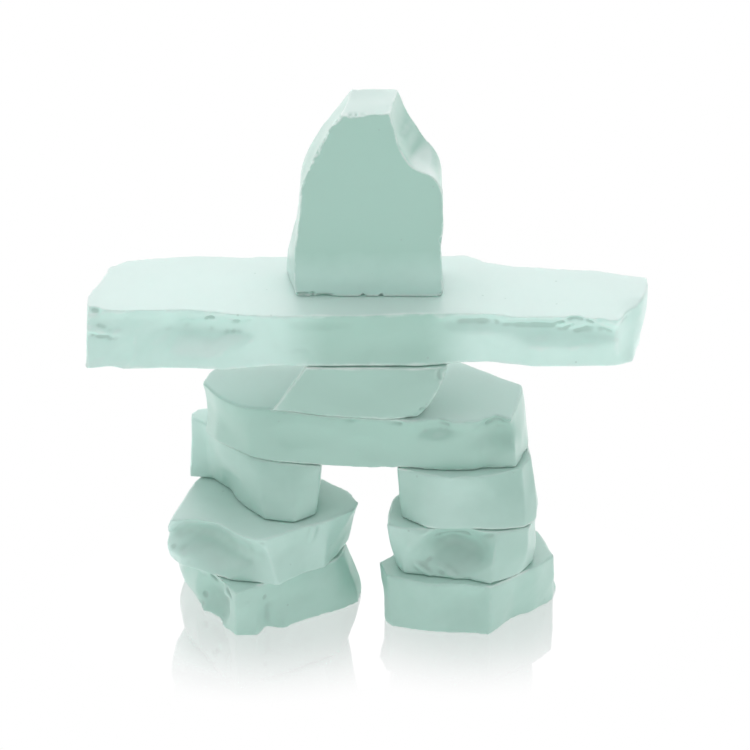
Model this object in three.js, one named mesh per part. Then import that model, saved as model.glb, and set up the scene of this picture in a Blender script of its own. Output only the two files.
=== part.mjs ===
// A stone-man figure stacked from ten chunks of frosted sheet glass: two legs of three blocks
// each, a hip slab across them, a torso block, one long slab for both arms and an upright head.
// Millimetres. +X to the viewer's right, +Y to the back, +Z up. The origin is on the ground,
// under the middle of the whole figure.

import * as THREE from "three";

// The sheet
const plate = 19; // thickness of the sheet glass that every chunk is broken from
const bond = 0.3; // clear glue line between two chunks
const courseHeight = plate + bond;

// The slabs. front is how far behind the figure's middle line the front edge stands, so a
// negative one is towards the viewer, and shift is how far right the slab's middle stands.
const arms = { width: 186, depth: 51, front: -28.5, shift: 0.7, course: 5 };
const torso = { width: 59.5, depth: 40.5, front: -24.6, shift: -2.2, course: 4 };
const hips = { width: 110.5, depth: 48, front: -26, shift: -0.2, course: 3 };
const head = { width: 52.2, height: 66.2, front: -9.7, shift: -0.6, course: 6 };

// The leg blocks. inner is the distance from the figure's middle line to the near side.
const legs = {
  left_thigh: { side: -1, inner: 14.5, width: 46.5, depth: 47, front: -26, course: 2 },
  left_shin: { side: -1, inner: 2.4, width: 64.1, depth: 51.5, front: -36.5, course: 1 },
  left_foot: { side: -1, inner: 1.5, width: 61.5, depth: 56.5, front: -39.5, course: 0 },
  right_thigh: { side: 1, inner: 10.4, width: 48.1, depth: 49, front: -31, course: 2 },
  right_shin: { side: 1, inner: 7, width: 51, depth: 48, front: -34, course: 1 },
  right_foot: { side: 1, inner: 4.5, width: 62, depth: 52, front: -35, course: 0 },
};

// The grain of the breaks
const wallStep = 4.5; // spacing of the points along a broken wall
const wallCourses = 5; // courses of facets between the two faces of the sheet
const stray = 0.4; // how far a break line wanders off its drawn line
const swellHeight = 0.6; // height of the swells on a broken wall
const swellLengths = [31, 19, 11]; // from crest to crest

// Outlines, anticlockwise from the left front. A corner is written as its x and y on the lower
// face, then how far the upper face's corner is off it in x and y, then how far the wall bellies
// out between the two. They are drawn in millimetres as they stand, and then fitted to the
// chunk's own width and depth. A sawn corner begins an edge that runs dead straight.
const sawn = "sawn";
const outlines = {
  arms: [
    [-92, -25, 1, 8, 0], [-84, -25.6, 0, 5.6, 0], [-58, -25, 0, 5, 0], [-45, -26, 0, 3, -0.6],
    [-30, -23, 0, -1, -0.5], [-5, -23.3, 0, -0.3, 0], [20, -23, 0, 1.5, 0], [40, -20, 0, -3.8, -0.5],
    [57, -24, 0, -2.3, 0], [76, -23.5, 0, -3, 0], [84, -22.5, -2.5, -6, 0], [88, -20.5, 2, 6, 1],
    [91, -8, 2.4, 4.7, 0.5], [92, 3, 1.6, 2, 0], [87, 6, 1, 0, 0], [78, 11, 0, -1, 1],
    [50, 12, 0, 1, 1], [41, 16, 0, 0, 0], [34, 22.3, 0, -1, 0], [-27, 22.3, 0, -2, 1],
    [-60, 21, 0, 0, 1], [-80, 17.5, 0, 0, 0], [-86, 12, 0, 0, 0], [-88, 1, 0, 0, 1],
    [-91.5, -9, 0, 0, 0],
  ],
  torso: [
    [-31.7, -17.4, 12, -5, 0], [-21.9, -19.5, 8, -3.5, 0], [-11.9, -21.6, 6, -1.6, 0],
    [6.3, -24, 6, 0.6, 0], [17.3, -21.6, 9.5, -1.6, 2.2], [18.5, -14, 9, 0, 1.6],
    [15, 2, 8, 0, 0], [9, 14, 5, 0, 0], [-12, 16, 4, 0, 0.5], [-20, 9, 8, 0, 0],
    [-27, -8, 10, -1, -1],
  ],
  hips: [
    [-50.8, -4.6, 0, -1, 0], [-44.2, -10.1, -0.5, -2.4, 0], [-39, -14.9, 0, -0.5, 0],
    [-32, -17.7, 0, 1.5, 0.5], [-14.7, -21.1, 0, 0.5, 0.5], [10.3, -22.4, 0, -1.3, 0],
    [25, -24, 0, -2, 0], [37, -24, 1, -0.5, 0], [40, -22.5, 0, 0, 0], [50, -22, -1.6, -1.8, 0.5],
    [54.9, -8.7, -3.5, 0, 0], [55, 2, -2.4, -0.5, 0], [46, 8, -0.7, -0.7, 0],
    [37, 14, 0.4, -0.2, 0], [29, 21, 0, 0, 0], [-28, 22, 0, -1, 1], [-46, 19, 0, 0, 0],
    [-53, 11.6, 0, 0, 0], [-54.6, 3, -0.9, -0.5, -1],
  ],
  head: [
    [-26.7, 0, 3.7, 0, sawn], [25.4, 0, 0, 0, 0], [25.3, 8, 0, 0, 0], [24.3, 17, 0, 0, 0],
    [25.4, 23, 0, 0, 0], [25.2, 33.5, -0.1, 1.5, 0], [25.1, 38.7, -0.4, -0.3, 0],
    [23.7, 43.4, -0.3, -2, -0.8], [21.1, 46.6, 0.4, -2.7, -1.4], [19, 49.5, -0.8, -4.6, -1],
    [17.1, 52.4, -2.1, -6, 0], [15.3, 55.2, -2.9, -5.3, 0], [13.8, 57.7, -3.4, -2.5, -1.2],
    [11.8, 63, -3, -2.5, -1], [10.2, 65.9, -2.4, 0.2, 0],
    [-0.3, 66.2, -0.7, -1.2, 0], [-4.5, 66.2, -3.7, -1.1, 0], [-9.4, 59.5, -2.1, 1.4, 0],
    [-14.3, 53, -1.1, 0.5, -0.6], [-19, 44.8, 0.3, 0.9, 0], [-21.5, 38, 0.2, 2.3, 0],
    [-22, 27, 0.6, 2.5, 0], [-23, 20, 0.2, 0.5, 0], [-26, 9, 2.4, 0.5, 0],
  ],
  left_thigh: [
    [-60.5, 5, 0.5, 9, 0], [-53, 4, -2, 5, 0], [-47, -2, -3, -2, 0], [-42, -14, -1, 4, 0.5],
    [-34, -24, -2, 8.5, 1], [-24, -26, -2, 7.3, 1], [-16.9, -20.5, 2.2, -0.7, 0],
    [-16, -5, 1.5, 0, 0], [-18, 12, 1, 0, 0], [-26, 20, 0, 0, 0], [-48, 21, 0, 0, 0.5],
    [-58.5, 19.5, 0.2, 0, 0], [-61, 12, 1, 4.5, 0],
  ],
  left_shin: [
    [-66.5, -15.7, 0.6, -7.6, 2], [-63, -21.7, 3, -2.9, 0], [-50, -28.9, 0, 3.4, 0],
    [-42.4, -32.1, -0.3, -1.8, 0], [-37.4, -32.8, -0.6, -3.2, -1], [-29.3, -34.7, -5.3, -1.8, 0],
    [-20.7, -26.2, -1.3, -2.3, -0.6], [-13.9, -23, 0.9, -1, 0], [-8.9, -12.4, 4.9, -4.6, -0.5],
    [-6, -5, 3.6, -6, 0], [-8, 2, 2.5, -5.7, 0], [-17, 10, 1.8, -4.7, 0], [-28, 15, 0, -2, 0],
    [-52, 15, 0, 0, 0.5], [-63, 6, 4.5, -2, 0], [-66, -6, 3.5, -5, 1.5],
  ],
  left_foot: [
    [-44, -35.5, 0.5, -4, 0], [-36.9, -35.5, 0, 1.5, 0], [-34, -30.4, 1, -1.1, 0],
    [-27.6, -30.4, 0.6, 2.4, 0], [-19.2, -24.6, -0.3, 1.6, 0.5], [-9, -18.7, -1, 1.7, 0.5],
    [-2.8, -13.5, -4.8, 0.9, 1], [-1.5, -5, -5.5, 1, 1], [-6, 4, -5, -2, 0],
    [-18, 12, -3, -2, 0], [-38, 17, 0, 0, 0], [-55, 13, 0, 0, 0], [-63, 3, 1.5, -5, 3],
    [-59.5, -7, -0.5, -2, 4.5], [-55.9, -18.7, 3.4, -5.3, 1.5],
  ],
  right_thigh: [
    [12, -22, -1.6, 0, 0], [20.4, -29.8, -0.4, 3.8, 0], [28, -30.4, -1, 1.7, 0],
    [42.5, -31, -0.5, 4, 0.5], [53, -29.5, -1, 7.5, 1], [57.2, -24, -1.7, 10, 1],
    [58.5, -14, -3.5, 8, 0], [57, 4, -3, 0, 0], [50, 14, -1, 0, 0], [36, 18, 0, 0, 0.5],
    [20, 17, 0, 0, 0], [12.5, 10, -1, 0, 0], [11.5, -5.5, -1, -0.5, 0],
  ],
  right_shin: [
    [10.2, -12.4, -2.7, -3.6, 0.5], [10.5, -22, -3.5, -4.5, 0.5], [14.8, -30.2, -0.8, 1.2, 0],
    [24, -30.2, -2, 0.2, 0], [33.3, -30.8, 0.7, -0.7, 0], [41.7, -34, 2.3, 2.5, 0],
    [52, -27, 3, -1, 1], [57, -18, 1, -2, 0.5], [57, -4, 0, -4, 0], [52, 8, 0, -2, 0],
    [38, 14, 0, 0, 0], [20, 13, 0, 0, 0], [11, 4, 0.5, -9, 0], [9.5, -5, -0.7, -4.2, 0.5],
  ],
  right_foot: [
    [6.4, -26.5, -1.7, 8, 0], [8.8, -29.7, -1.8, 2.7, 0], [21.6, -32.9, -0.6, -0.1, 0.5],
    [41.9, -34.8, 0.1, -0.2, 0.5], [46.1, -29.7, 0.9, -1.3, 0], [49.7, -23.9, 1.3, -3.1, 0],
    [57.7, -19.4, 0.3, -2.6, 1], [64.2, -12.2, 0.2, -1.8, 0.5], [66.6, -4.3, -4.6, -0.7, 0.5],
    [64, 5, -5, -2, 0], [52, 14, -1, 0, 0], [34, 17, 0, 0, 0.5], [16, 14, 0, 0, 0],
    [6, 4, 6, -8, 0], [5.8, -5.6, 4.4, -7, 0],
  ],
};

// Blows that knocked shell-shaped hollows out of the broken walls. x, y and z place the hollow's
// middle, as shares of the chunk's width, depth and thickness. The blow runs towards that many
// degrees in plan, and wide, tall and deep are the hollow's half sizes, as shares of the sheet.
const blows = {
  arms: [
    { x: 0.195, y: 0.14, z: 0.7, towards: 90, wide: 0.95, tall: 0.36, deep: 0.13 },
    { x: 0.81, y: 0.055, z: 0.72, towards: 90, wide: 1.5, tall: 0.32, deep: 0.18 },
    { x: 0.68, y: 0.1, z: 0.84, towards: 90, wide: 0.95, tall: 0.24, deep: 0.1 },
    { x: 0.035, y: 0.15, z: 0.78, towards: 90, wide: 0.45, tall: 0.3, deep: 0.12 },
    { x: 0.04, y: 0.1, z: 0.36, towards: 90, wide: 0.5, tall: 0.38, deep: 0.11 },
  ],
  hips: [
    { x: 0.71, y: 0.03, z: 0.84, towards: 90, wide: 0.35, tall: 0.24, deep: 0.1 },
    { x: 0.89, y: 0.08, z: 0.72, towards: 100, wide: 0.38, tall: 0.36, deep: 0.11 },
  ],
  left_shin: [{ x: 0.226, y: 0.15, z: 0.58, towards: 58, wide: 0.95, tall: 0.52, deep: 0.33 }],
  left_foot: [{ x: 0.2, y: 0.27, z: 0.45, towards: 40, wide: 0.52, tall: 0.5, deep: 0.1 }],
  right_shin: [
    { x: 0.437, y: 0.08, z: 0.6, towards: 90, wide: 0.62, tall: 0.52, deep: 0.3 },
    { x: 0.17, y: 0.1, z: 0.16, towards: 90, wide: 0.5, tall: 0.34, deep: 0.12 },
  ],
  right_foot: [{ x: 0.45, y: 0.02, z: 0.57, towards: 90, wide: 0.48, tall: 0.52, deep: 0.09 }],
};

// Smooth swells that run in three directions and start elsewhere on each chunk.
function swell({ x, y, z }, start) {
  const [long, middling, short] = swellLengths.map((length) => (2 * Math.PI) / length);
  return (
    0.5 * Math.sin(long * (x + 0.6 * z) + start) +
    0.3 * Math.sin(middling * (y - 0.8 * z) + 2.1 * start) +
    0.2 * Math.sin(short * (x + y + 0.7 * z) + 3.7 * start)
  );
}

// Fits an outline's lower and upper corners to a width and a depth, from zero up.
function fitted(outline, width, depth) {
  const xs = outline.flatMap(([x, , dx]) => [x, x + dx]);
  const ys = outline.flatMap(([, y, , dy]) => [y, y + dy]);
  const [left, near] = [Math.min(...xs), Math.min(...ys)];
  const across = width / (Math.max(...xs) - left);
  const back = depth / (Math.max(...ys) - near);
  const place = (x, y) => new THREE.Vector2((x - left) * across, (y - near) * back);
  return outline.map(([x, y, dx, dy, belly]) => ({
    lower: place(x, y),
    upper: place(x + dx, y + dy),
    belly: belly === sawn ? 0 : belly,
    rough: belly === sawn ? 0 : 1,
  }));
}

// Walks round an outline in even steps. Corners stay where they are drawn, and the points
// between them may stray.
function stepsRound(corners) {
  return corners.flatMap((corner, i) => {
    const next = corners[(i + 1) % corners.length];
    const steps = Math.max(1, Math.round(corner.lower.distanceTo(next.lower) / wallStep));
    return Array.from({ length: steps }, (_, k) => ({
      lower: corner.lower.clone().lerp(next.lower, k / steps),
      upper: corner.upper.clone().lerp(next.upper, k / steps),
      belly: THREE.MathUtils.lerp(corner.belly, next.belly, k / steps),
      rough: k === 0 ? Math.min(corner.rough, corners.at(i - 1).rough) : corner.rough,
      stray: k === 0 ? 0 : stray * corner.rough,
    }));
  });
}

// Moves a point of a wall to the far side of a blow's hollow, if the blow swept past it.
function struck(point, blow, width, depth) {
  const angle = THREE.MathUtils.degToRad(blow.towards);
  const along = new THREE.Vector3(Math.cos(angle), Math.sin(angle), 0);
  const from = point.clone().sub(new THREE.Vector3(blow.x * width, blow.y * depth, blow.z * plate));
  const side = (from.y * along.x - from.x * along.y) / (blow.wide * plate);
  const rise = from.z / (blow.tall * plate);
  const left = 1 - side * side - rise * rise;
  if (left <= 0) return point;
  const reach = blow.deep * plate * left ** 0.75;
  return point.addScaledVector(along, Math.max(0, reach - from.dot(along)));
}

// Closes rings of points into one body: walls between the rings and a flat face at each end.
function closedRings(rings) {
  const count = rings[0].length;
  const faces = [];
  for (let ring = 0; ring + 1 < rings.length; ring++) {
    for (let i = 0; i < count; i++) {
      const a = ring * count + i;
      const b = ring * count + ((i + 1) % count);
      faces.push(a, b, b + count, a, b + count, a + count);
    }
  }
  const flat = (ring) => THREE.ShapeUtils.triangulateShape(ring.map((p) => new THREE.Vector2(p.x, p.y)), []);
  const last = (rings.length - 1) * count;
  for (const [a, b, c] of flat(rings[0])) faces.push(c, b, a);
  for (const [a, b, c] of flat(rings.at(-1))) faces.push(last + a, last + b, last + c);
  const geometry = new THREE.BufferGeometry().setFromPoints(rings.flat());
  geometry.setIndex(faces);
  return geometry;
}

// A chunk of sheet glass: flat above and below, and broken all round.
function brokenPlate(name, width, depth, start) {
  const walk = stepsRound(fitted(outlines[name], width, depth));
  const rings = Array.from({ length: wallCourses + 1 }, (_, course) => {
    const share = course / wallCourses;
    const middle = 4 * share * (1 - share); // 1 halfway up the wall, 0 at both faces
    return walk.map(({ lower, upper, belly, rough, stray }, i) => {
      const before = walk.at(i - 1).lower;
      const after = walk[(i + 1) % walk.length].lower;
      const outward = new THREE.Vector2(after.y - before.y, before.x - after.x).normalize();
      const { x, y } = lower.clone().lerp(upper, share);
      const point = new THREE.Vector3(x, y, share * plate);
      const amount = rough * swellHeight * middle + stray * (1 - middle);
      const out = belly * middle + amount * swell(point, start);
      point.add(new THREE.Vector3(outward.x * out, outward.y * out, 0));
      return (blows[name] ?? []).reduce((p, blow) => struck(p, blow, width, depth), point);
    });
  });
  return closedRings(rings);
}

// Names a chunk, gives it its frosted finish and stands it in its course of the stack.
function laid(name, geometry, tint, left, near, course) {
  geometry.computeVertexNormals();
  const material = new THREE.MeshStandardMaterial({ color: tint, roughness: 0.62, metalness: 0 });
  const mesh = new THREE.Mesh(geometry, material);
  mesh.name = name;
  mesh.position.set(left, near, course * courseHeight);
  return mesh;
}

function slab(name, { width, depth, front, shift, course }, tint) {
  return laid(name, brokenPlate(name, width, depth, course), tint, shift - width / 2, front, course);
}

function legBlock(name, { side, inner, width, depth, front, course }) {
  const geometry = brokenPlate(name, width, depth, 10 * side + course);
  return laid(name, geometry, 0xa5c7bb, side > 0 ? inner : -inner - width, front, course);
}

// The head is broken lying on its back, and then stood up on its sawn edge.
function uprightHead({ width, height, front, shift, course }) {
  const geometry = brokenPlate("head", width, height, course);
  const mesh = laid("head", geometry, 0xa6c8bc, shift - width / 2, front + plate, course);
  mesh.rotation.x = Math.PI / 2;
  return mesh;
}

const figure = new THREE.Group();
for (const [name, block] of Object.entries(legs)) figure.add(legBlock(name, block));
figure.add(slab("hips", hips, 0xa9cabe));
figure.add(slab("torso", torso, 0xa4c6ba));
figure.add(slab("arms", arms, 0xc0dfd5));
figure.add(uprightHead(head));

// Stands the figure on the ground, with the origin under its middle.
figure.updateMatrixWorld(true);
const bounds = new THREE.Box3().setFromObject(figure, true);
const middle = bounds.getCenter(new THREE.Vector3());
figure.position.set(-middle.x, -middle.y, -bounds.min.z);

export default figure;
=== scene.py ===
# %% [markdown]
# A stone-man figure in frosted glass.
# The real figure is ten chunks broken from one thick sheet of pale sea-green glass. They are
# stacked, glued and sandblasted all over, so the glass lets light through but shows nothing clearly.
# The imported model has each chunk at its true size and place. It could be shown with a glass material
# as it is, but its facets are coarse. So each chunk is copied, given a fine broken surface inside the
# same form, and dressed in one glass.

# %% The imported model
import itertools
import math

import bmesh
import bpy
import numpy as np
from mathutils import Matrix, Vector, noise
from mathutils.bvhtree import BVHTree


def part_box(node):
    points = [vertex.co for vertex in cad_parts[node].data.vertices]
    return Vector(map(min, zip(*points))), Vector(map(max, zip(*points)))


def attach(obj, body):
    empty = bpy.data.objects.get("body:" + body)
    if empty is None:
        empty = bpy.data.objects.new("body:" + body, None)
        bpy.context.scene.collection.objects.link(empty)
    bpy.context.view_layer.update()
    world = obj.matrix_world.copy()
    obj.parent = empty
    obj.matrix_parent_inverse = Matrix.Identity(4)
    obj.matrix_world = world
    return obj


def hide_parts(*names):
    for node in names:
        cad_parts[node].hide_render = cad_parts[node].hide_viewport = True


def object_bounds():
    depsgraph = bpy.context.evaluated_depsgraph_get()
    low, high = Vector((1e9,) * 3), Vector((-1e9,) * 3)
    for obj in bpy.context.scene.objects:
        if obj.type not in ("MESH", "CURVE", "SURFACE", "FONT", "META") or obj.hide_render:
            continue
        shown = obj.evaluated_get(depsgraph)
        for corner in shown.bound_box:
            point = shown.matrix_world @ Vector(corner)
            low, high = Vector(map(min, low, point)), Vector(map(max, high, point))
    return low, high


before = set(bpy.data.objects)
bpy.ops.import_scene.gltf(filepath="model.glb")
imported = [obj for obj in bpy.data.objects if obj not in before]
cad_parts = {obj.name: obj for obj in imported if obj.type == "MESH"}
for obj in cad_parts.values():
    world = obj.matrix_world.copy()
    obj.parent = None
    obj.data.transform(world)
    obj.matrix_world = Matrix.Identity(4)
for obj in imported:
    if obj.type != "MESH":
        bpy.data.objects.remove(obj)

millimetre = 0.001
model_low, model_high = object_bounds()
print("the model's box, mm:", [round(side / millimetre, 1) for side in model_high - model_low])

# %% [markdown]
# The camera.
# The photo looks straight at the figure's front and down by 28 degrees, through a long lens that
# hardly narrows what is further off. A camera could be turned by hand until it fits. Here it is
# worked out instead: the edge of the sheet is known to be 19 mm thick and measures 51 pixels, which
# gives the size of a pixel at the figure, and with the distance that gives the lens. The picture's
# middle falls a little in front of the head's foot, just under the arms.

# %% Camera
photo_side = 750
sheet_edge_pixels = 51
view_down = math.radians(28)
camera_distance = 1.2
sensor_width = 36

right_of_arms_middle = 2.3 * millimetre
before_the_head = 14.3 * millimetre
under_the_arms = 2.6 * millimetre

arms_low, arms_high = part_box("arms")
plate = arms_high.z - arms_low.z
pixel = plate * math.cos(view_down) / sheet_edge_pixels
looked_at = Vector((
    (arms_low.x + arms_high.x) / 2 + right_of_arms_middle,
    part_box("head")[0].y - before_the_head,
    arms_low.z - under_the_arms,
))
line_of_sight = Vector((0, math.cos(view_down), -math.sin(view_down)))
camera_place = looked_at - camera_distance * line_of_sight

lens = bpy.data.cameras.new("camera")
lens.sensor_width = sensor_width
lens.lens = sensor_width * camera_distance / (pixel * photo_side)
camera = bpy.data.objects.new("camera", lens)
camera.location = camera_place
camera.rotation_euler = (math.pi / 2 - view_down, 0, 0)
bpy.context.scene.collection.objects.link(camera)
bpy.context.scene.camera = camera
print("one pixel is", round(pixel / millimetre, 3), "mm, and the lens is", round(lens.lens, 1), "mm")

# %% [markdown]
# A clean copy of a chunk.
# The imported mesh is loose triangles, so a copy has its doubles merged before anything else. The two
# faces of the sheet have to stay dead flat and their rims sharp, while the walls, where the glass
# broke, turn from facets into one flowing surface. Creases say which edges Subdivision Surface keeps:
# the rims wholly, and the strong ridges of a wall in part.

# %% Clean copies
doubles_within = 0.001 * millimetre
face_within = 0.01 * millimetre
squarely = 0.999
rim_crease = 1.0
ridge_crease = 0.7
ridge_angle = math.radians(32)
boxes = {name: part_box(name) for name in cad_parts}


def sheet_axis(name):
    """The axis that the sheet's thickness runs along: the head stands on its edge."""
    return 1 if name == "head" else 2


def is_sheet_face(face, name):
    """Whether a face belongs to one of the two flat faces of the sheet."""
    axis = sheet_axis(name)
    low, high = boxes[name]
    height = face.calc_center_median()[axis]
    off = min(abs(height - low[axis]), abs(height - high[axis]))
    return off < face_within and abs(face.normal[axis]) > squarely


def clean_copy(name):
    """A merged copy of a chunk, with its rims and strong ridges creased."""
    shape = bmesh.new()
    shape.from_mesh(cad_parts[name].data)
    bmesh.ops.remove_doubles(shape, verts=shape.verts, dist=doubles_within)
    crease = shape.edges.layers.float.new("crease_edge")
    for edge in shape.edges:
        flat = [is_sheet_face(face, name) for face in edge.link_faces]
        if flat[0] != flat[1]:
            edge[crease] = rim_crease
        elif not flat[0] and edge.calc_face_angle() > ridge_angle:
            edge[crease] = ridge_crease
    return shape


copies = {name: clean_copy(name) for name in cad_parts}
print("triangles in the copies:", {name: len(shape.faces) for name, shape in copies.items()})

# %% [markdown]
# An even skin.
# Breaks and chips need points everywhere, about as far apart as the smallest chip is wide. Subdivision
# alone leaves long thin faces on the flats, so the smoothed chunk is rebuilt on a grid of small cubes
# with Remesh, which also welds anything that a deep blow has folded over. The head is nearest to the
# eye and has the most ragged rim, so its grid is finer. The arms are the largest chunk, so theirs is
# coarser, to keep the number of faces down.

# %% Even skins
grain = {"head": 0.37 * millimetre, "arms": 0.58 * millimetre}
usual_grain = 0.5 * millimetre


def modified(mesh, *modifiers):
    """The mesh that comes out of some modifiers, each given as its type and its settings."""
    holder = bpy.data.objects.new("holder", mesh)
    bpy.context.scene.collection.objects.link(holder)
    for kind, settings in modifiers:
        modifier = holder.modifiers.new(kind.lower(), kind)
        for key, value in settings.items():
            setattr(modifier, key, value)
    seen = holder.evaluated_get(bpy.context.evaluated_depsgraph_get())
    made = bpy.data.meshes.new_from_object(seen)
    bpy.data.objects.remove(holder)
    return made


def even_skin(name, mesh, *before):
    """The mesh rebuilt as small even squares, after the modifiers named before."""
    size = grain.get(name, usual_grain)
    remesh = ("REMESH", {"mode": "VOXEL", "voxel_size": size, "use_smooth_shade": True})
    return modified(mesh, *before, remesh)


def smooth_skin(name):
    """A chunk's copy, smoothed between its creases and rebuilt with an even skin."""
    mesh = bpy.data.meshes.new(name)
    copies[name].to_mesh(mesh)
    subdivide = ("SUBSURF", {"levels": 3, "render_levels": 3})
    return even_skin(name, mesh, subdivide)


skins = {name: smooth_skin(name) for name in copies}
print("squares in the skins:", {name: len(mesh.polygons) for name, mesh in skins.items()})

# %% [markdown]
# A blow.
# Glass breaks in shells: a blow lifts off a flake and leaves a shallow bowl, and where two bowls meet
# there is a ridge. The bowl could be cut with a Boolean. It is quicker, and never fails, to push the
# points inside the bowl into the wall. A fresh flake leaves a bowl of its own, whatever the wall was
# like, so its points go to the bowl's far side. An old break that the sand has rubbed only sinks the
# wall a little, so its points sink with it. A sliver left standing is the same turned outwards.

# %% Blows
up = Vector((0, 0, 1))
straight_back = (0, 1, 0)
back_and_up = (0, 1, 0.6)
from_the_left = (1, 1, 0)
from_the_right = (-1, 1, 0)


def points_of(mesh):
    """The places of a mesh's points, as rows of three."""
    places = np.empty(len(mesh.vertices) * 3)
    mesh.vertices.foreach_get("co", places)
    return places.reshape(-1, 3)


def put_points(mesh, points):
    """Gives a mesh its points back."""
    mesh.vertices.foreach_set("co", points.ravel())
    mesh.update()


def inside_bowl(points, place, into, along, wide, tall, lean, bowl):
    """How far each point lies behind the blow's place, and how deep the bowl is there, from 0 to 1.
    The bowl is wide along the wall and tall across it. A lean of 1 makes it deep under its upper rim
    and lets it run out to nothing below. A bowl of 0.5 is steep at its rim, and 1.5 melts away."""
    across = into.cross(along)
    offset = points - np.array(place)
    rise = offset @ np.array(across) / tall
    room = 1 - (offset @ np.array(along) / wide) ** 2 - rise**2
    return offset @ np.array(into), np.clip(room, 0, 1) ** bowl * (1 + lean * rise)


def sink(points, place, into, along, wide, tall, deep, lean=0.0, bowl=1.5, within=5.0):
    """Sinks the wall, with whatever is on it, by a soft bowl. Nothing moves that is more than so many
    millimetres behind the blow's place."""
    behind, share = inside_bowl(points, place, into, along, wide, tall, lean, bowl)
    share *= np.clip(1 - behind / (within * millimetre), 0, 1) * (behind > -within * millimetre)
    points += (deep * share)[:, None] * np.array(into)


def flake(points, place, into, along, wide, tall, deep, lean=0.0, bowl=0.8, before=1.2):
    """Takes off a flake: whatever is in the bowl goes to the bowl's far side."""
    behind, share = inside_bowl(points, place, into, along, wide, tall, lean, bowl)
    share *= behind > -before * millimetre
    push = np.where(share > 0, np.clip(deep * share - behind, 0, None), 0)
    points += push[:, None] * np.array(into)


def leave_sliver(points, place, into, along, wide, tall, proud, lean=0.0):
    """Leaves a thin sliver standing proud of the wall."""
    sink(points, place, into, along, wide, tall, -proud, lean, bowl=0.7)


def wall_lines(into, slant=0.0):
    """The way into a wall, and the way along it, turned within the wall by a slant in degrees."""
    into = Vector(into).normalized()
    level = up.cross(into).normalized()
    angle = math.radians(slant)
    return into, math.cos(angle) * level + math.sin(angle) * into.cross(level)


print("a wall seen from the front runs along", tuple(wall_lines(straight_back)[1]))

# %% [markdown]
# The blows that the photo shows.
# They could be spread at random too, but a viewer would know this figure by its own. So each is drawn
# at the pixel where the photo shows it. Its half sizes are in millimetres, it goes straight back unless
# it says otherwise, and a slant turns it within the wall. Hollows are broad and soft, and most of them
# lean, because the break turned in under the upper rim and ran out below. Chips are small and crisp.
# Between them thin slivers were left standing, which are the bright lines in the photo.

# %% Hollows
hollows = {
    "head": [
        {"seen": (417, 146), "wide": 10, "tall": 7, "deep": 2.0, "lean": -0.9, "into": (-1, 0.25, -0.3)},
    ],
    "arms": [
        {"seen": (158, 322), "wide": 16, "tall": 4.6, "deep": 0.9, "lean": 0.9},
        {"seen": (190, 334), "wide": 16, "tall": 6.0, "deep": 1.5, "lean": 0.6},
        {"seen": (100, 343), "wide": 7, "tall": 4.0, "deep": 0.8, "lean": 0.8},
        {"seen": (320, 322), "wide": 13, "tall": 3.4, "deep": 0.45, "lean": -0.6},
        {"seen": (402, 345), "wide": 15, "tall": 8, "deep": 0.6},
        {"seen": (480, 324), "wide": 16, "tall": 4.0, "deep": 1.2, "lean": 0.9},
        {"seen": (536, 330), "wide": 15, "tall": 5.0, "deep": 1.4, "lean": 0.8},
        {"seen": (632, 335), "wide": 8, "tall": 12, "deep": 1.6, "into": (-1, 1, 0)},
        {"seen": (634, 308), "wide": 9, "tall": 5, "deep": 1.4, "into": (-1, 0.5, -1.2)},
        {"seen": (590, 334), "wide": 11, "tall": 4.0, "deep": 0.9, "lean": 0.8},
    ],
    "hips": [
        {"seen": (437, 427), "wide": 9, "tall": 4.4, "deep": 0.5, "lean": 0.4},
        {"seen": (500, 430), "wide": 7, "tall": 5.4, "deep": 0.6, "lean": 0.4},
        {"seen": (372, 450), "wide": 11, "tall": 5.0, "deep": 0.6, "slant": 15},
        {"seen": (300, 436), "wide": 15, "tall": 5.0, "deep": 0.5, "slant": -6},
    ],
    "left_thigh": [
        {"seen": (262, 492), "wide": 8, "tall": 6.0, "deep": 0.5, "slant": 20},
    ],
    "left_shin": [
        {"seen": (208, 540), "wide": 17, "tall": 8.5, "deep": 2.4, "lean": 0.8, "into": (1, 1.7, 0)},
        {"seen": (250, 558), "wide": 10, "tall": 8.5, "deep": 2.0, "lean": 0.6, "into": (1, 1.7, 0)},
    ],
    "left_foot": [
        {"seen": (219, 602), "wide": 7.0, "tall": 7.0, "deep": 1.0, "lean": 0.6, "into": (1, 0.9, 0)},
        {"seen": (300, 598), "wide": 14, "tall": 6.0, "deep": 0.5, "into": (-0.5, 1, 0)},
    ],
    "right_thigh": [
        {"seen": (470, 500), "wide": 12, "tall": 6.5, "deep": 0.5, "slant": -10},
    ],
    "right_shin": [
        {"seen": (457, 548), "wide": 10, "tall": 7.0, "deep": 1.6, "lean": 0.8, "slant": 12},
        {"seen": (420, 575), "wide": 6, "tall": 2.6, "deep": 1.0, "lean": 0.8, "slant": 14},
    ],
    "right_foot": [
        {"seen": (466, 604), "wide": 8, "tall": 7.0, "deep": 0.6, "lean": 0.5},
        {"seen": (412, 600), "wide": 9, "tall": 6.0, "deep": 0.35},
    ],
}
print("hollows on:", list(hollows))

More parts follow.
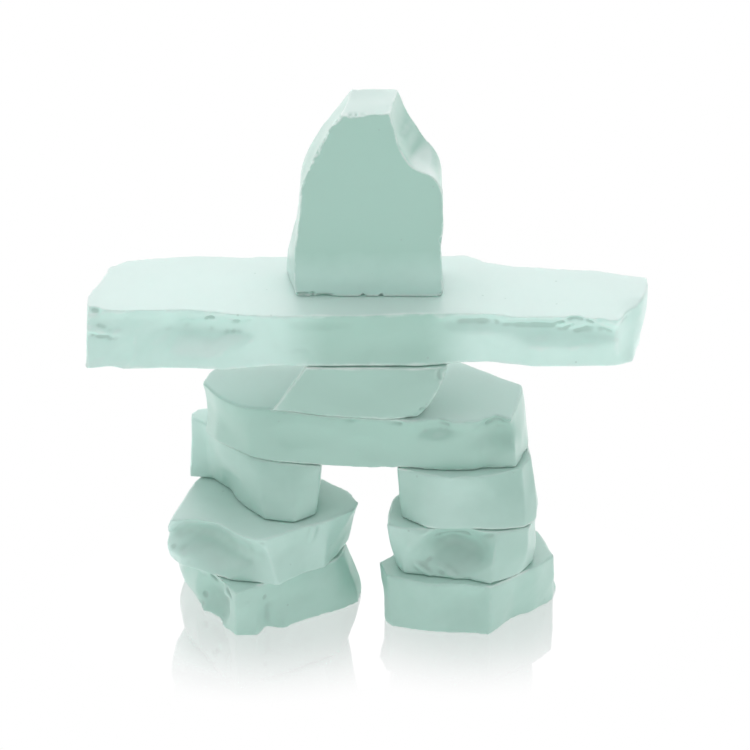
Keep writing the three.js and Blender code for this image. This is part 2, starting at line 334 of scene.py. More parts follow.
# %% Chips
chips = {
    "head": [
        {"seen": (441, 240), "wide": 1.2, "tall": 1.0, "deep": 0.5, "into": (-1, 0.4, 0)},
        {"seen": (442, 262), "wide": 1.0, "tall": 0.8, "deep": 0.5, "into": (-1, 0.4, 0)},
        {"seen": (304, 294), "wide": 3.0, "tall": 0.6, "deep": 1.8},
        {"seen": (312, 294), "wide": 1.0, "tall": 0.9, "deep": 1.8},
        {"seen": (324, 295), "wide": 3.8, "tall": 0.5, "deep": 1.8},
        {"seen": (363, 295), "wide": 0.8, "tall": 0.5, "deep": 1.8},
        {"seen": (381, 295), "wide": 0.7, "tall": 0.5, "deep": 1.8},
        {"seen": (441, 294), "wide": 1.2, "tall": 0.8, "deep": 0.8, "into": from_the_right},
    ],
    "arms": [
        {"seen": (95, 310), "wide": 3.0, "tall": 1.8, "deep": 1.5, "into": (0.6, 1, 0.3)},
        {"seen": (160, 313), "wide": 15, "tall": 1.0, "deep": 1.0, "into": back_and_up},
        {"seen": (209, 318), "wide": 2.4, "tall": 1.0, "deep": 1.0, "slant": -25, "into": back_and_up},
        {"seen": (232, 320), "wide": 2.2, "tall": 0.7, "deep": 0.5},
        {"seen": (561, 323), "wide": 2.4, "tall": 1.0, "deep": 1.1, "slant": -22, "into": back_and_up},
        {"seen": (575, 320), "wide": 3.6, "tall": 1.2, "deep": 1.3, "slant": -3, "into": back_and_up},
        {"seen": (589, 322), "wide": 2.2, "tall": 0.9, "deep": 1.2, "slant": 24, "into": back_and_up},
        {"seen": (601, 321), "wide": 2.6, "tall": 1.1, "deep": 1.3, "slant": -22, "into": back_and_up},
        {"seen": (613, 322), "wide": 2.4, "tall": 1.1, "deep": 1.3, "slant": 26, "into": back_and_up},
        {"seen": (621, 312), "wide": 2.0, "tall": 1.0, "deep": 0.5, "into": from_the_right},
    ],
    "torso": [
        {"seen": (439, 394), "wide": 2.0, "tall": 2.4, "deep": 0.7, "into": (-1, 0.7, 0)},
        {"seen": (421, 411), "wide": 1.8, "tall": 1.5, "deep": 0.6, "into": (-1, 0.7, 0)},
        {"seen": (447, 374), "wide": 1.6, "tall": 1.3, "deep": 0.4, "into": (-1, 0.7, 0)},
    ],
    "hips": [
        {"seen": (437, 424), "wide": 4.4, "tall": 1.2, "deep": 0.5, "lean": 0.8},
        {"seen": (497, 422), "wide": 4.2, "tall": 1.6, "deep": 0.6, "lean": 0.8},
        {"seen": (349, 420), "wide": 2.6, "tall": 0.7, "deep": 0.5, "lean": 0.8},
        {"seen": (393, 423), "wide": 3.6, "tall": 0.8, "deep": 0.5, "lean": 0.8},
    ],
    "left_thigh": [
        {"seen": (198, 412), "wide": 2.4, "tall": 1.8, "deep": 0.8, "into": from_the_left},
    ],
    "left_shin": [
        {"seen": (262, 545), "wide": 2.6, "tall": 1.2, "deep": 0.6, "slant": 12},
    ],
    "left_foot": [
        {"seen": (207, 595), "wide": 1.4, "tall": 1.8, "deep": 0.35, "into": (1, 0.6, 0)},
        {"seen": (222, 606), "wide": 1.2, "tall": 1.4, "deep": 0.4, "into": (1, 0.8, 0)},
        {"seen": (215, 578), "wide": 2.6, "tall": 0.7, "deep": 1.0, "slant": 60, "into": (1, 0.9, 0)},
        {"seen": (227, 590), "wide": 3.6, "tall": 0.8, "deep": 1.1, "slant": 35, "into": (1, 0.9, 0)},
        {"seen": (240, 584), "wide": 3.4, "tall": 1.0, "deep": 0.9, "slant": 12},
        {"seen": (265, 597), "wide": 0.7, "tall": 1.0, "deep": 0.4},
        {"seen": (290, 597), "wide": 0.7, "tall": 1.0, "deep": 0.6, "slant": -20},
    ],
    "right_shin": [
        {"seen": (462, 533), "wide": 9, "tall": 0.8, "deep": 0.8},
    ],
}
print("chips on:", list(chips))

# %% Slivers
slivers = {
    "arms": [
        {"seen": (96, 330), "wide": 4.8, "tall": 1.3, "proud": 1.0, "slant": 16},
        {"seen": (116, 333), "wide": 2.6, "tall": 1.1, "proud": 0.8, "slant": -20},
        {"seen": (192, 317), "wide": 5.0, "tall": 1.2, "proud": 0.6, "slant": -8},
        {"seen": (232, 319), "wide": 2.2, "tall": 1.1, "proud": 0.9},
        {"seen": (299, 358), "wide": 4.2, "tall": 3.4, "proud": 0.7},
        {"seen": (565, 324), "wide": 3.4, "tall": 1.1, "proud": 1.0, "slant": -24},
        {"seen": (577, 326), "wide": 3.0, "tall": 1.1, "proud": 1.0, "slant": -18},
        {"seen": (608, 326), "wide": 3.4, "tall": 1.1, "proud": 0.8, "slant": 20},
    ],
    "left_thigh": [
        {"seen": (222, 477), "wide": 0.9, "tall": 2.2, "proud": 0.6},
        {"seen": (226, 486), "wide": 0.9, "tall": 1.0, "proud": 0.5},
    ],
    "left_shin": [
        {"seen": (313, 530), "wide": 1.2, "tall": 5.0, "proud": 0.7, "into": from_the_right, "slant": 8},
    ],
    "left_foot": [
        {"seen": (248, 605), "wide": 0.9, "tall": 1.4, "proud": 0.5, "slant": 20},
    ],
    "right_thigh": [
        {"seen": (451, 477), "wide": 2.2, "tall": 0.9, "proud": 0.5},
        {"seen": (518, 461), "wide": 0.9, "tall": 1.8, "proud": 0.6, "slant": 15},
    ],
    "right_shin": [
        {"seen": (449, 572), "wide": 5.5, "tall": 1.2, "proud": 1.1, "slant": 33},
        {"seen": (423, 569), "wide": 4.5, "tall": 1.0, "proud": 0.9, "slant": 38},
    ],
}
print("slivers on:", list(slivers))

# %% [markdown]
# Striking the drawn blows.
# A pixel says only which way to look. The line of sight through it, from the camera, meets the chunk's
# wall in one place, and that is where the blow lands. A blow drawn on the very outline may just miss,
# and then it lands on the nearest point of the chunk.

# %% Drawn blows struck
front_of_figure = 20 * millimetre
trees = {name: BVHTree.FromBMesh(shape) for name, shape in copies.items()}


def sight_through(across, down):
    """The direction of the line of sight through a pixel of the photo."""
    step = pixel / camera_distance
    sideways = (across - photo_side / 2) * step
    upwards = (photo_side / 2 - down) * step
    raised = Vector((0, math.sin(view_down), math.cos(view_down)))
    return line_of_sight + sideways * Vector((1, 0, 0)) + upwards * raised


def place_seen(tree, seen):
    """Where the line of sight through a pixel meets a chunk, or the nearest point to it."""
    sight = sight_through(*seen)
    hit = tree.ray_cast(camera_place, sight)[0]
    if hit is None:
        passes_at = camera_place + sight * (camera_distance - front_of_figure)
        hit = tree.find_nearest(passes_at)[0]
    return hit


def strike_drawn(blow_kind, points, tree, blows, depth="deep"):
    """Strikes a chunk's points with blows of one kind, each where the photo shows it."""
    for blow in blows:
        lines = wall_lines(blow.get("into", straight_back), blow.get("slant", 0))
        half = [blow[key] * millimetre for key in ("wide", "tall", depth)]
        blow_kind(points, place_seen(tree, blow["seen"]), *lines, *half, blow.get("lean", 0))


for name, mesh in skins.items():
    points = points_of(mesh)
    strike_drawn(sink, points, trees[name], hollows.get(name, []))
    strike_drawn(flake, points, trees[name], chips.get(name, []))
    strike_drawn(leave_sliver, points, trees[name], slivers.get(name, []), "proud")
    put_points(mesh, points)
for kind, blows in (("hollows", hollows), ("chips", chips), ("slivers", slivers)):
    print(kind, "struck:", sum(map(len, blows.values())))

# %% [markdown]
# Nibbles along the rims, and scallops on the walls.
# Wherever a sheet of glass is broken, its rims are nibbled by small flakes, and the wall between them
# is a row of shallow scallops. These are too many to place by hand, so a seeded draw spreads them along
# every rim and over every wall, at the back too. The rim of the head's left shoulder and top is the most
# ragged. Its lower edge was sawn, so it has none there. A pair of sizes is the least and the most, in
# millimetres, that the draw may give.

# %% Nibbles and scallops
ragged_nibbles = {"spacing": 1.5, "wide": (0.5, 1.5), "tall": (1.4, 3.6), "deep": (0.35, 0.95)}
usual_nibbles = {"spacing": 5, "wide": (0.6, 2.8), "tall": (0.4, 1.0), "deep": (0.12, 0.4)}
shoulder_ends = 8 * millimetre
scallop_area = 130
scallop_sizes = ((5, 13), (4, 9), (0.1, 0.4))
scallop_lean = 0.8
straight_down = -0.95
seed = 7


def is_sawn(face, name):
    """Whether a face belongs to the head's sawn lower edge."""
    return name == "head" and face.normal.z < straight_down


def rims_of(shape, name):
    """Every stretch of rim of a broken wall: its middle, its length and the way into the wall."""
    found = []
    for edge in shape.edges:
        walls = [face for face in edge.link_faces if not is_sheet_face(face, name)]
        if len(walls) == 1 and not is_sawn(walls[0], name):
            middle = (edge.verts[0].co + edge.verts[1].co) / 2
            found.append((middle, edge.verts[1].co - edge.verts[0].co, -walls[0].normal))
    return found


def is_ragged(name, place):
    """Whether a place on a rim is at the front of the head's left shoulder or top."""
    middle = sum(boxes[name], Vector()) / 2
    in_front = place.y < middle.y
    left_or_top = place.z > middle.z and place.x < middle.x + shoulder_ends
    return name == "head" and in_front and left_or_top


def walls_of(shape, name):
    """Every face of a broken wall: its middle, its area and the way into the wall."""
    walls = [face for face in shape.faces if not is_sheet_face(face, name) and not is_sawn(face, name)]
    return [(face.calc_center_median(), face.calc_area(), -face.normal) for face in walls]


def drawn_between(draw, *limits):
    """One length in metres drawn between each pair of limits in millimetres."""
    return [draw.uniform(low, high) * millimetre for low, high in limits]


def nibble(points, rims, draw, spacing, wide, tall, deep):
    """Small flakes along the rims, so many millimetres apart."""
    lengths = np.array([stretch.length for _, stretch, _ in rims])
    count = round(lengths.sum() / (spacing * millimetre))
    for pick in draw.choice(len(rims), size=count, p=lengths / lengths.sum()):
        middle, stretch, into = rims[pick]
        place = middle + draw.uniform(-0.5, 0.5) * stretch
        along = (stretch - stretch.dot(into) * into).normalized()
        half = drawn_between(draw, wide, tall, deep)
        flake(points, place, into, along, *half)
    return count


def scallop(points, walls, draw):
    """Shallow scallops over the walls."""
    areas = np.array([area for _, area, _ in walls])
    count = round(areas.sum() / (scallop_area * millimetre**2))
    for pick in draw.choice(len(walls), size=count, p=areas / areas.sum()):
        middle, _, into = walls[pick]
        side = into.orthogonal().normalized()
        turn = draw.uniform(0, math.pi)
        along = math.cos(turn) * side + math.sin(turn) * into.cross(side)
        half = drawn_between(draw, *scallop_sizes)
        sink(points, middle, into, along, *half, draw.uniform(-scallop_lean, scallop_lean))
    return count


for order, (name, mesh) in enumerate(skins.items()):
    draw = np.random.default_rng(seed + order)
    points = points_of(mesh)
    scallops = scallop(points, walls_of(copies[name], name), draw)
    rims = rims_of(copies[name], name)
    nibbled = nibble(points, [rim for rim in rims if not is_ragged(name, rim[0])], draw, **usual_nibbles)
    ragged = [rim for rim in rims if is_ragged(name, rim[0])]
    if ragged:
        nibbled += nibble(points, ragged, draw, **ragged_nibbles)
    put_points(mesh, points)
    print(name, "has", nibbled, "nibbles and", scallops, "scallops")

# %% [markdown]
# The last skin.
# The blows have stretched some squares, so the skin is rebuilt once more and then rubbed down a little,
# as the sandblast rubs down a fresh break. The head and the arms are rubbed less, because the photo
# shows their chips the crispest. A slow unevenness goes on the walls and not on the flats. Each chunk
# keeps within its own box, because glass was only ever taken away.

# %% Last skins
rubbing = {"head": 1, "arms": 1}
usual_rubbing = 2
flat_within = 0.35 * millimetre
flat_faces = 0.9
unevenness = 0.12 * millimetre
unevenness_size = 6 * millimetre


def normals_of(mesh):
    """The normals of a mesh's points, as rows of three."""
    normals = np.empty(len(mesh.vertices) * 3)
    mesh.vertex_normals.foreach_get("vector", normals)
    return normals.reshape(-1, 3)


def flatness(name, points, normals):
    """1 on the two flat faces of the sheet, and 0 on a wall."""
    axis = sheet_axis(name)
    low, high = boxes[name]
    off = np.minimum(abs(points[:, axis] - low[axis]), abs(points[:, axis] - high[axis]))
    return ((off < flat_within) & (abs(normals[:, axis]) > flat_faces)).astype(float)


def last_skin(name):
    """A chunk's struck skin, rebuilt, rubbed down and made uneven on its walls."""
    mesh = even_skin(name, skins[name])
    rubs = rubbing.get(name, usual_rubbing)
    mesh = modified(mesh, ("SMOOTH", {"factor": 0.5, "iterations": rubs}))
    points = points_of(mesh)
    normals = normals_of(mesh)
    walls = 1 - flatness(name, points, normals)
    waves = np.array([noise.noise(Vector(point / unevenness_size)) for point in points])
    points += (walls * waves * unevenness)[:, None] * normals
    low, high = boxes[name]
    points = np.clip(points, np.array(low), np.array(high))
    put_points(mesh, points)
    return mesh


skins = {name: last_skin(name) for name in skins}
print("triangles:", {name: 2 * len(mesh.polygons) for name, mesh in skins.items()})

# %% [markdown]
# Painted light and shade on the skin.
# Rims and ridges get a painted highlight, hollows get painted shade, and whatever faces up is painted
# paler, as the light from above makes it. A texture could paint this, but wouldn't know where the chips
# are. So the mesh is asked how far each point stands out from its neighbours and how far it faces up,
# and the answers are kept as attributes that the glass reads. The photo shows each of them more on some
# chunks than on others, so they have their shares. Sharp cracks count as hollows in full.

# %% Painted rim highlight, hollow shade and top light
ridge_height = 0.07 * millimetre
# Shares of the painted highlight along rims and ridges.
rim_highlight_share = {"head": 1.0, "torso": 0.6, "arms": 0.6}
usual_rim_highlight_share = 0.35
# Shares of painted shade in hollows; sharp cracks get it in full.
hollow_shade_share = {"left_shin": 0.8, "right_shin": 0.9, "left_foot": 0.8}
usual_hollow_shade_share = 0.2
crack_from = 0.6
top_light_from = 0.5
top_light_grows_over = 0.3
# Shares of painted top light, which makes whatever faces up paler.
top_light_share = {"head": 1.0, "arms": 1.0, "hips": 0.9, "left_shin": 0.55}
usual_top_light_share = 0.35


def edges_of(mesh):
    """The pairs of points that a mesh's edges join."""
    pairs = np.empty(len(mesh.edges) * 2, dtype=int)
    mesh.edges.foreach_get("vertices", pairs)
    return pairs.reshape(-1, 2)


def spread(values, pairs, times):
    """Averages each point's value with its neighbours', some times over."""
    count = len(values)
    joined = np.bincount(pairs.ravel(), minlength=count)
    for _ in range(times):
        total = np.bincount(pairs[:, 0], weights=values[pairs[:, 1]], minlength=count)
        total += np.bincount(pairs[:, 1], weights=values[pairs[:, 0]], minlength=count)
        values = (values + total) / (joined + 1)
    return values


def keep_attribute(mesh, name, values):
    """Keeps one number for each point of a mesh."""
    attribute = mesh.attributes.new(name, "FLOAT", "POINT")
    attribute.data.foreach_set("value", values.astype(np.float32))


def note_surface(name, mesh):
    """Keeps how ridged and how hollow each point of a chunk is, and how far it faces up: the shares of
    painted highlight, shade and top light.
    """
    points = points_of(mesh)
    normals = normals_of(mesh)
    pairs = edges_of(mesh)
    around = np.stack([spread(points[:, axis], pairs, 3) for axis in range(3)], axis=1)
    proud = ((points - around) * normals).sum(axis=1) / ridge_height
    rims = rim_highlight_share.get(name, usual_rim_highlight_share) * spread(np.clip(proud, 0, 1), pairs, 1)
    deeps = hollow_shade_share.get(name, usual_hollow_shade_share) * spread(np.clip(-proud, 0, 1), pairs, 6)
    deeps += spread(np.clip(-proud - crack_from, 0, 1), pairs, 1)
    tops = top_light_share.get(name, usual_top_light_share)
    tops *= np.clip((normals[:, 2] - top_light_from) / top_light_grows_over, 0, 1)
    keep_attribute(mesh, "ridge", rims)
    keep_attribute(mesh, "hollow", deeps)
    keep_attribute(mesh, "top", tops)
    return float(np.clip(proud, 0, 1).mean())


for name, mesh in skins.items():
    print(name, "is ridge over", round(100 * note_surface(name, mesh), 1), "% of its skin")

# %% [markdown]
# Painted shade where the glass is shut in.
# A chunk of frosted glass glows with the light that comes in through its upper and lower faces, so the
# free ends of the arms are pale. Where another chunk or the ground lies against it, no light comes in,
# and the shade there is painted into the glass as a deeper colour. Full scattering inside the glass
# would show this, but it is slow, and no exported model keeps it. So each chunk is asked, at places a
# few millimetres apart inside it, whether anything lies straight above or below, and the answer is
# blurred over its skin.
# The legs' chunks are small, and light comes in at their sides too, so they are less shut in. The head
# gets some light through its joint from the bright arms below.

# %% Shut-in glass
places_apart = 5 * millimetre
blur = 6 * millimetre
against = 3 * millimetre
leg_lets_in = 0.25
joint_lets_in = 1.0
joint_reach = 17 * millimetre


def steps_between(start, end):
    """Evenly spaced values between two ends, about as far apart as the places."""
    count = max(1, round((end - start) / places_apart))
    return [start + (end - start) * (index + 0.5) / count for index in range(count)]


def is_inside(name, place):
    """Whether a place is inside a chunk: the skin above it then faces up."""
    _, normal, _, _ = trees[name].ray_cast(place, up)
    return normal is not None and normal.z > 0


def is_shut_in(name, place):
    """Whether another chunk lies against this one straight above or below a place, or it stands on the
    ground."""
    if boxes[name][0].z < millimetre:
        return True
    for way in (up, -up):
        own_end = trees[name].ray_cast(place, way)[3]
        ends = [tree.ray_cast(place, way)[3] for other, tree in trees.items() if other != name]
        if any(end is not None and end - own_end < against for end in ends):
            return True
    return False


def shut_in(name, points):
    """0 where light comes in from above and below, and 1 where it doesn't, for each point."""
    low, high = boxes[name]
    grid = [Vector(place) for place in itertools.product(*map(steps_between, low, high))]
    asked = [place for place in grid if is_inside(name, place)]
    answers = np.array([is_shut_in(name, place) for place in asked], dtype=float)
    total = np.zeros(len(points))
    weight = np.zeros(len(points))
    for place, answer in zip(asked, answers):
        near = np.exp(-((points - np.array(place)) ** 2).sum(axis=1) / (2 * blur**2))
        total += answer * near
        weight += near
    return total / weight


for name, mesh in skins.items():
    points = points_of(mesh)
    share = shut_in(name, points)
    if name == "head":
        above = points[:, 2] - boxes[name][0].z
        share *= 1 - joint_lets_in * np.clip(1 - above / joint_reach, 0, 1)
    elif boxes[name][1].z < boxes["hips"][0].z + millimetre:
        share *= 1 - leg_lets_in
    keep_attribute(mesh, "shut_in", share)
    print(name, "is shut in over", round(100 * float(share.mean())), "% of its skin")

# %% [markdown]
# Painted light at the joints.
# The chunks are held with a clear glue that has filled the cracks between them, so the photo hardly
# shows most joints, while the grooves between the chunks here fall into shade. Beads of glue could be
# modelled, but they would be thinner than a chip. So how near each rim is to another chunk is kept as an
# attribute, and painted light makes the glass paler there. Two joints get less painted light, and keep
# the dark lines that the photo shows.

# %% Painted light at the joints
# How far the painted joint light reaches, and the two joints that get less of it.
joint_light_within = 1.2 * millimetre
joint_light_share = {"left_thigh": 0.3, "right_shin": 0.3}
level_top = 0.95


def joint_light(name, points, normals):
    """1 on a wall where it touches another chunk, down to 0 a little way off, for each point."""
    low, high = boxes[name]
    off = np.minimum(points[:, 2] - low.z, high.z - points[:, 2])
    others = [tree for other, tree in trees.items() if other != name]
    share = np.zeros(len(points))
    for index in np.flatnonzero((off < joint_light_within) & (abs(normals[:, 2]) < level_top)):
        ends = [tree.find_nearest(Vector(points[index]), joint_light_within)[3] for tree in others]
        nearest = min((end for end in ends if end is not None), default=joint_light_within)
        share[index] = 1 - nearest / joint_light_within
    return joint_light_share.get(name, 1) * share


for name, mesh in skins.items():
    # Each chunk keeps its share of painted joint light; the count is of the points that get some.
    share = joint_light(name, points_of(mesh), normals_of(mesh))
    keep_attribute(mesh, "joint_light", share)
    print(name, "has glue on", int((share > 0).sum()), "points")

# %% [markdown]
# Shader sums.
# A material is clearer to read as sums than as a list of nodes and links. One small class wraps a
# socket so that it can be added, taken away and multiplied in plain Python. A second one holds the
# nodes of a material or a sky, and one method of it makes any other node from its type, its settings
# and what goes into its sockets.

# %% Shader sums


class Value:
    """A socket that can be used in sums."""

    def __init__(self, nodes, socket):
        self.nodes = nodes
        self.socket = socket

    def sum_with(self, operation, first, second):
        return self.nodes.node("ShaderNodeMath", {"operation": operation}, {0: first, 1: second})[0]

    def __add__(self, other):
        return self.sum_with("ADD", self, other)

    def __sub__(self, other):
        return self.sum_with("SUBTRACT", self, other)

    def __rsub__(self, other):
        return self.sum_with("SUBTRACT", other, self)

    def __mul__(self, other):
        return self.sum_with("MULTIPLY", self, other)

    __radd__ = __add__
    __rmul__ = __mul__


class Nodes:
    """The nodes of a material or a sky."""

    def __init__(self, owner):
        owner.use_nodes = True
        self.tree = owner.node_tree

    def fill(self, node, sockets):
        """Sets a node's sockets to numbers, colours or vectors, or links them to values."""
        node = self.tree.nodes[node] if isinstance(node, str) else node
        for key, what in sockets.items():
            if isinstance(what, Value):
                self.tree.links.new(what.socket, node.inputs[key])
            else:
                node.inputs[key].default_value = what

    def node(self, kind, settings=None, sockets=None):
        """Makes a node, sets it, fills its sockets and gives its outputs as values."""
        made = self.tree.nodes.new(kind)
        for key, value in (settings or {}).items():
            setattr(made, key, value)
        self.fill(made, sockets or {})
        return [Value(self, socket) for socket in made.outputs]

    def attribute(self, name):
        """A number that the mesh keeps for each point."""
        return self.node("ShaderNodeAttribute", {"attribute_name": name})[2]

    def clouds(self, place, size, detail=2.0):
        """Soft clouds of about that size, from 0 to 1."""
        sockets = {"Vector": place, "Scale": 1 / size, "Detail": detail}
        return self.node("ShaderNodeTexNoise", {}, sockets)[0]

    def step(self, value, start, end, low=0.0, high=1.0):
        """Low before the start and high after the end, with a smooth climb between."""
        sockets = {"Value": value, "From Min": start, "From Max": end, "To Min": low, "To Max": high}
        return self.node("ShaderNodeMapRange", {"interpolation_type": "SMOOTHSTEP"}, sockets)[0]

    def mix(self, share, colour, other):
        """A colour mixed with another one by a share."""
        sockets = {0: share, 6: colour, 7: other}
        return self.node("ShaderNodeMix", {"data_type": "RGBA"}, sockets)[2]

    def mix_shaders(self, share, shader, other):
        """A shader mixed with another one by a share."""
        return self.node("ShaderNodeMixShader", {}, {0: share, 1: shader, 2: other})[0]

    def vector(self, operation, first, second):
        """Vector maths: the vector that comes out, and the number."""
        return self.node("ShaderNodeVectorMath", {"operation": operation}, {0: first, 1: second})


# %% [markdown]
# The frosted glass.
# Sandblasted glass scatters what passes through its skin, and the green of the sheet deepens with the
# way that the light has gone inside it. It could be faked with a flat green, but then thin chips would
# be as dark as thick blocks. So the skin is a rough, partly see-through glass, Volume Absorption takes
# the red out of the light inside, and a rough coat mirrors the white room softly, as frost does at a low
# angle. Light and shade are painted into the skin's colour too: painted shade where the glass is shut in
# and in hollows, painted light on the tops, a painted highlight along rims and painted light at the
# joints. It is faintly clouded everywhere, and has a few small pits, painted as dark specks.

# %% The skin's colour
open_colour = (0.76, 1.0, 0.94, 1)
painted_shut_in_shade_colour = (0.44, 0.70, 0.61, 1)
painted_top_light_colour = (0.80, 0.91, 0.89, 1)
painted_rim_highlight_colour = (0.90, 1.0, 0.97, 1)
painted_hollow_shade_colour = (0.36, 0.53, 0.47, 1)
painted_joint_light_colour = (0.95, 1.0, 0.98, 1)
cloud_size, cloudiness = 14 * millimetre, 0.08
small_cloud_size, small_cloudiness = 5 * millimetre, 0.05
rim_highlight_patch_size = 7 * millimetre
pits_apart = 9 * millimetre
top_light_shows = 0.75
hollow_shade_shows = 0.6
pit_shows = 0.4
rim_highlight_shows = 0.8

sandblasted_glass = bpy.data.materials.new("sandblasted_glass")
glass = Nodes(sandblasted_glass)
place = glass.node("ShaderNodeTexCoord")[3]
hollow = glass.attribute("hollow")
ridge = glass.attribute("ridge") * glass.step(glass.clouds(place, rim_highlight_patch_size), 0.35, 0.6, 0.45, 1)

cloud = glass.step(glass.clouds(place, cloud_size), 0.35, 0.7)
small_cloud = glass.step(glass.clouds(place, small_cloud_size), 0.35, 0.7)
to_pit = glass.node("ShaderNodeTexVoronoi", {}, {"Vector": place, "Scale": 1 / pits_apart})[0]
pit = glass.step(to_pit, 0.03, 0.06, 1, 0)
# Painted shade where the glass is shut in, mixed from the open colour, with faint clouds of real tone.
painted_shade_and_clouds = glass.attribute("shut_in") + cloud * cloudiness + small_cloud * small_cloudiness
colour = glass.mix(painted_shade_and_clouds, open_colour, painted_shut_in_shade_colour)
# Painted light: whatever faces up is paler.
colour = glass.mix(glass.attribute("top") * top_light_shows, colour, painted_top_light_colour)
# Painted shade in hollows and cracks, and small pits painted as dark specks in the same colour.
painted_hollow_shade_and_pits = glass.step(hollow, 0.03, 0.5) * hollow_shade_shows + pit * pit_shows
colour = glass.mix(painted_hollow_shade_and_pits, colour, painted_hollow_shade_colour)
# A painted highlight along rims and ridges, in patches.
colour = glass.mix(glass.step(ridge, 0.15, 0.9) * rim_highlight_shows, colour, painted_rim_highlight_colour)
# Painted light at the joints, where the grooves between chunks would fall into shade.
colour = glass.mix(glass.attribute("joint_light"), colour, painted_joint_light_colour)
print("nodes in the skin's colour:", len(glass.tree.nodes))

# %% Frosted glass
see_through = 0.24
frost = 0.58
frost_varies = 0.05
glass_bends_light = 1.5
coat_bends_light = 1.6
coat_frost = 0.36
coat_lost_in_hollows = 0.5
dust = 0.11
grit_size = 0.35 * millimetre
grit_height = 0.05 * millimetre
grit_shows = 0.2
lost_per_metre = (16.5, 2.1, 4.2)

grit = glass.clouds(place, grit_size, 3.0)
sockets = {"Strength": grit_shows, "Distance": grit_height, "Height": grit}
bump = glass.node("ShaderNodeBump", {}, sockets)[0]
glass.fill("Principled BSDF", {
    "Base Color": colour,
    "Roughness": cloud * frost_varies + frost,
    "Normal": bump,
    "IOR": glass_bends_light,
    "Transmission Weight": see_through,
    "Coat Weight": 1 - hollow * coat_lost_in_hollows,
    "Coat IOR": coat_bends_light,
    "Coat Roughness": coat_frost,
    "Sheen Weight": dust,
})

density = max(lost_per_metre)
depth_colour = [1 - lost / density for lost in lost_per_metre] + [1]
sockets = {"Color": depth_colour, "Density": density}
depth = glass.node("ShaderNodeVolumeAbsorption", {}, sockets)[0]
glass.fill("Material Output", {"Volume": depth})
through_plate = [round(math.exp(-plate * lost), 2) for lost in lost_per_metre]
print("red, green and blue that pass through the plate's thickness:", through_plate)

# %% [markdown]
# The chunks.
# Each fine chunk stands for its packed one, rides on the figure's one body, and takes the glass.

# %% Chunks
for name, mesh in skins.items():
    chunk = bpy.data.objects.new(name + "_glass", mesh)
    bpy.context.scene.collection.objects.link(chunk)
    mesh.materials.clear()
    mesh.materials.append(sandblasted_glass)
    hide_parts(name)
    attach(chunk, "root")
print("pieces:", [name + "_glass" for name in skins])

# %% [markdown]
# The floor.
# The photo stands the figure on plain white, and in front of the feet it shows a faint mirror image
# that fades out within a few centimetres. A floor that is glossy all over would mirror the whole
# figure. So the camera sees plain white, with a mirror mixed in only near the feet, while the light
# that reaches the glass comes off a white table that also glows a little, as a photographer's does.

# %% Floor
floor_gap = 0.2 * millimetre
mirror_share = 0.46
mirror_starts = 0.8
mirror_fades = 40 * millimetre
table_glow = 0.33

floor_mesh = bpy.data.meshes.new("floor")
floor_shape = bmesh.new()
bmesh.ops.create_grid(floor_shape, x_segments=1, y_segments=1, size=6)
floor_shape.to_mesh(floor_mesh)
floor_shape.free()
floor = bpy.data.objects.new("floor", floor_mesh)
floor.location.z = -floor_gap
bpy.context.scene.collection.objects.link(floor)

white_floor = bpy.data.materials.new("white_floor")
white_floor.cycles.emission_sampling = "NONE"
white = Nodes(white_floor)
floor_place = white.node("ShaderNodeTexCoord")[3]


def nearness(foot):
    """1 at a foot's edge, down to 0 where the mirror image has faded out."""
    low, high = boxes[foot]
    middle = (low + high) / 2
    half = (high - low) / 2
    offset = white.vector("SUBTRACT", floor_place, (middle.x, middle.y, 0))[0]
    far = white.vector("MULTIPLY", offset, (1 / half.x, 1 / half.y, 0))
    times = white.vector("LENGTH", far[0], (0, 0, 0))[1]
    return white.step(times, mirror_starts, 1 + mirror_fades / half.y, 1, 0)


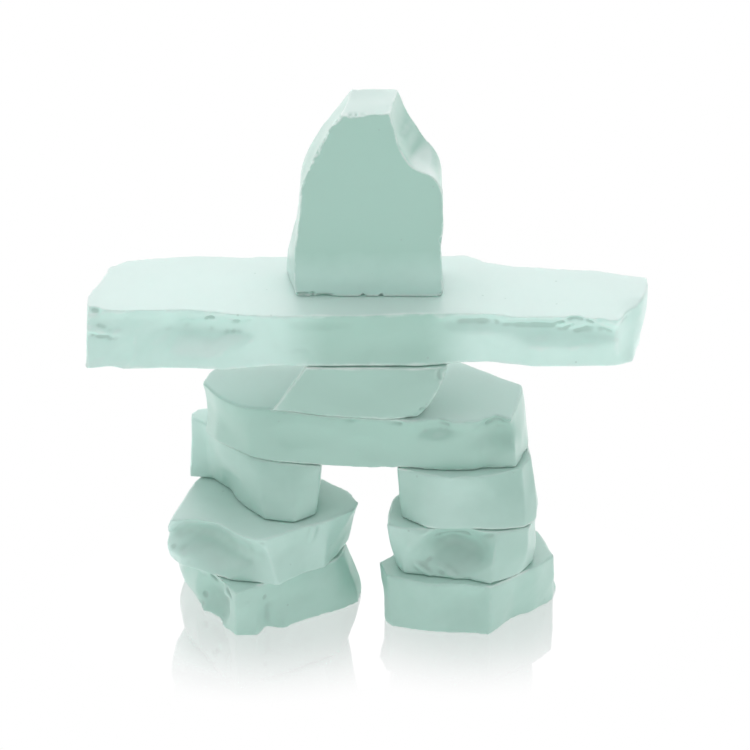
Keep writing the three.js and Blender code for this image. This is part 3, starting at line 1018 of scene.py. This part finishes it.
feet = {0: nearness("left_foot"), 1: nearness("right_foot")}
near = white.node("ShaderNodeMath", {"operation": "MAXIMUM"}, feet)[0]
plain = white.node("ShaderNodeEmission", {}, {"Strength": 1.0})[0]
mirror = white.node("ShaderNodeBsdfGlossy", {}, {"Roughness": 0.05})[0]
seen_white = white.mix_shaders(near * mirror_share, plain, mirror)
table = white.node("ShaderNodeBsdfDiffuse", {}, {"Color": (0.9, 0.9, 0.9, 1)})[0]
glow = white.node("ShaderNodeEmission", {}, {"Strength": table_glow})[0]
lit_white = white.node("ShaderNodeAddShader", {}, {0: table, 1: glow})[0]
seen = white.node("ShaderNodeLightPath")[0]
white.fill("Material Output", {"Surface": white.mix_shaders(seen, lit_white, seen_white)})
floor_mesh.materials.append(white_floor)
print("the mirror image fades out", round(mirror_fades / millimetre), "mm from the feet")

# %% [markdown]
# The studio.
# The tops are nearly white, the fronts are a quiet green, and there is hardly a shadow. That is the look
# of a small white room with soft lamps all round, so the sky is pale and bright here. The strongest
# lamp is above. One high on the left lights the bevels that face it, one behind shines through the
# glass on its way to the camera, and a faint one on the right fills in.

# %% Studio
lamps = {
    "above": {"place": (0, 0.15, 1.1), "size": (1.3, 1.0), "brightness": 1.15},
    "behind": {"place": (0, 1.1, 0.45), "size": (2.0, 0.9), "brightness": 0.75},
    "right": {"place": (1.0, -0.2, 0.5), "size": (0.8, 0.8), "brightness": 0.2},
    "high left": {"place": (-0.9, 0.2, 0.8), "size": (0.7, 0.7), "brightness": 0.75},
}


def hang_lamp(name, place, size, brightness):
    """A soft lamp that faces the figure, so many times as bright as a lit white wall."""
    light = bpy.data.lights.new(name, "AREA")
    light.shape = "RECTANGLE"
    light.size, light.size_y = size
    light.energy = brightness * math.pi * size[0] * size[1]
    lamp = bpy.data.objects.new(name, light)
    lamp.location = place
    middle = Vector((0, 0, (model_low.z + model_high.z) / 2))
    lamp.rotation_euler = (middle - Vector(place)).to_track_quat("-Z", "Y").to_euler()
    lamp.visible_camera = False
    bpy.context.scene.collection.objects.link(lamp)
    return light.energy


for name, lamp in lamps.items():
    print(name, "lamp:", round(hang_lamp(name, **lamp), 2), "W")

# %% Sky
sky_light = 0.6

studio = bpy.data.worlds.new("studio")
bpy.context.scene.world = studio
sky = Nodes(studio)
seen = sky.node("ShaderNodeLightPath")[0]
sky.fill("Background", {"Color": (1, 1, 1, 1), "Strength": seen + (1 - seen) * sky_light})
print("the sky lights the glass with", sky_light, "of its brightness")

scene = bpy.context.scene
scene.view_settings.view_transform = "Standard"
scene.cycles.max_bounces = 16
scene.cycles.transmission_bounces = 16
scene.cycles.use_denoising = True
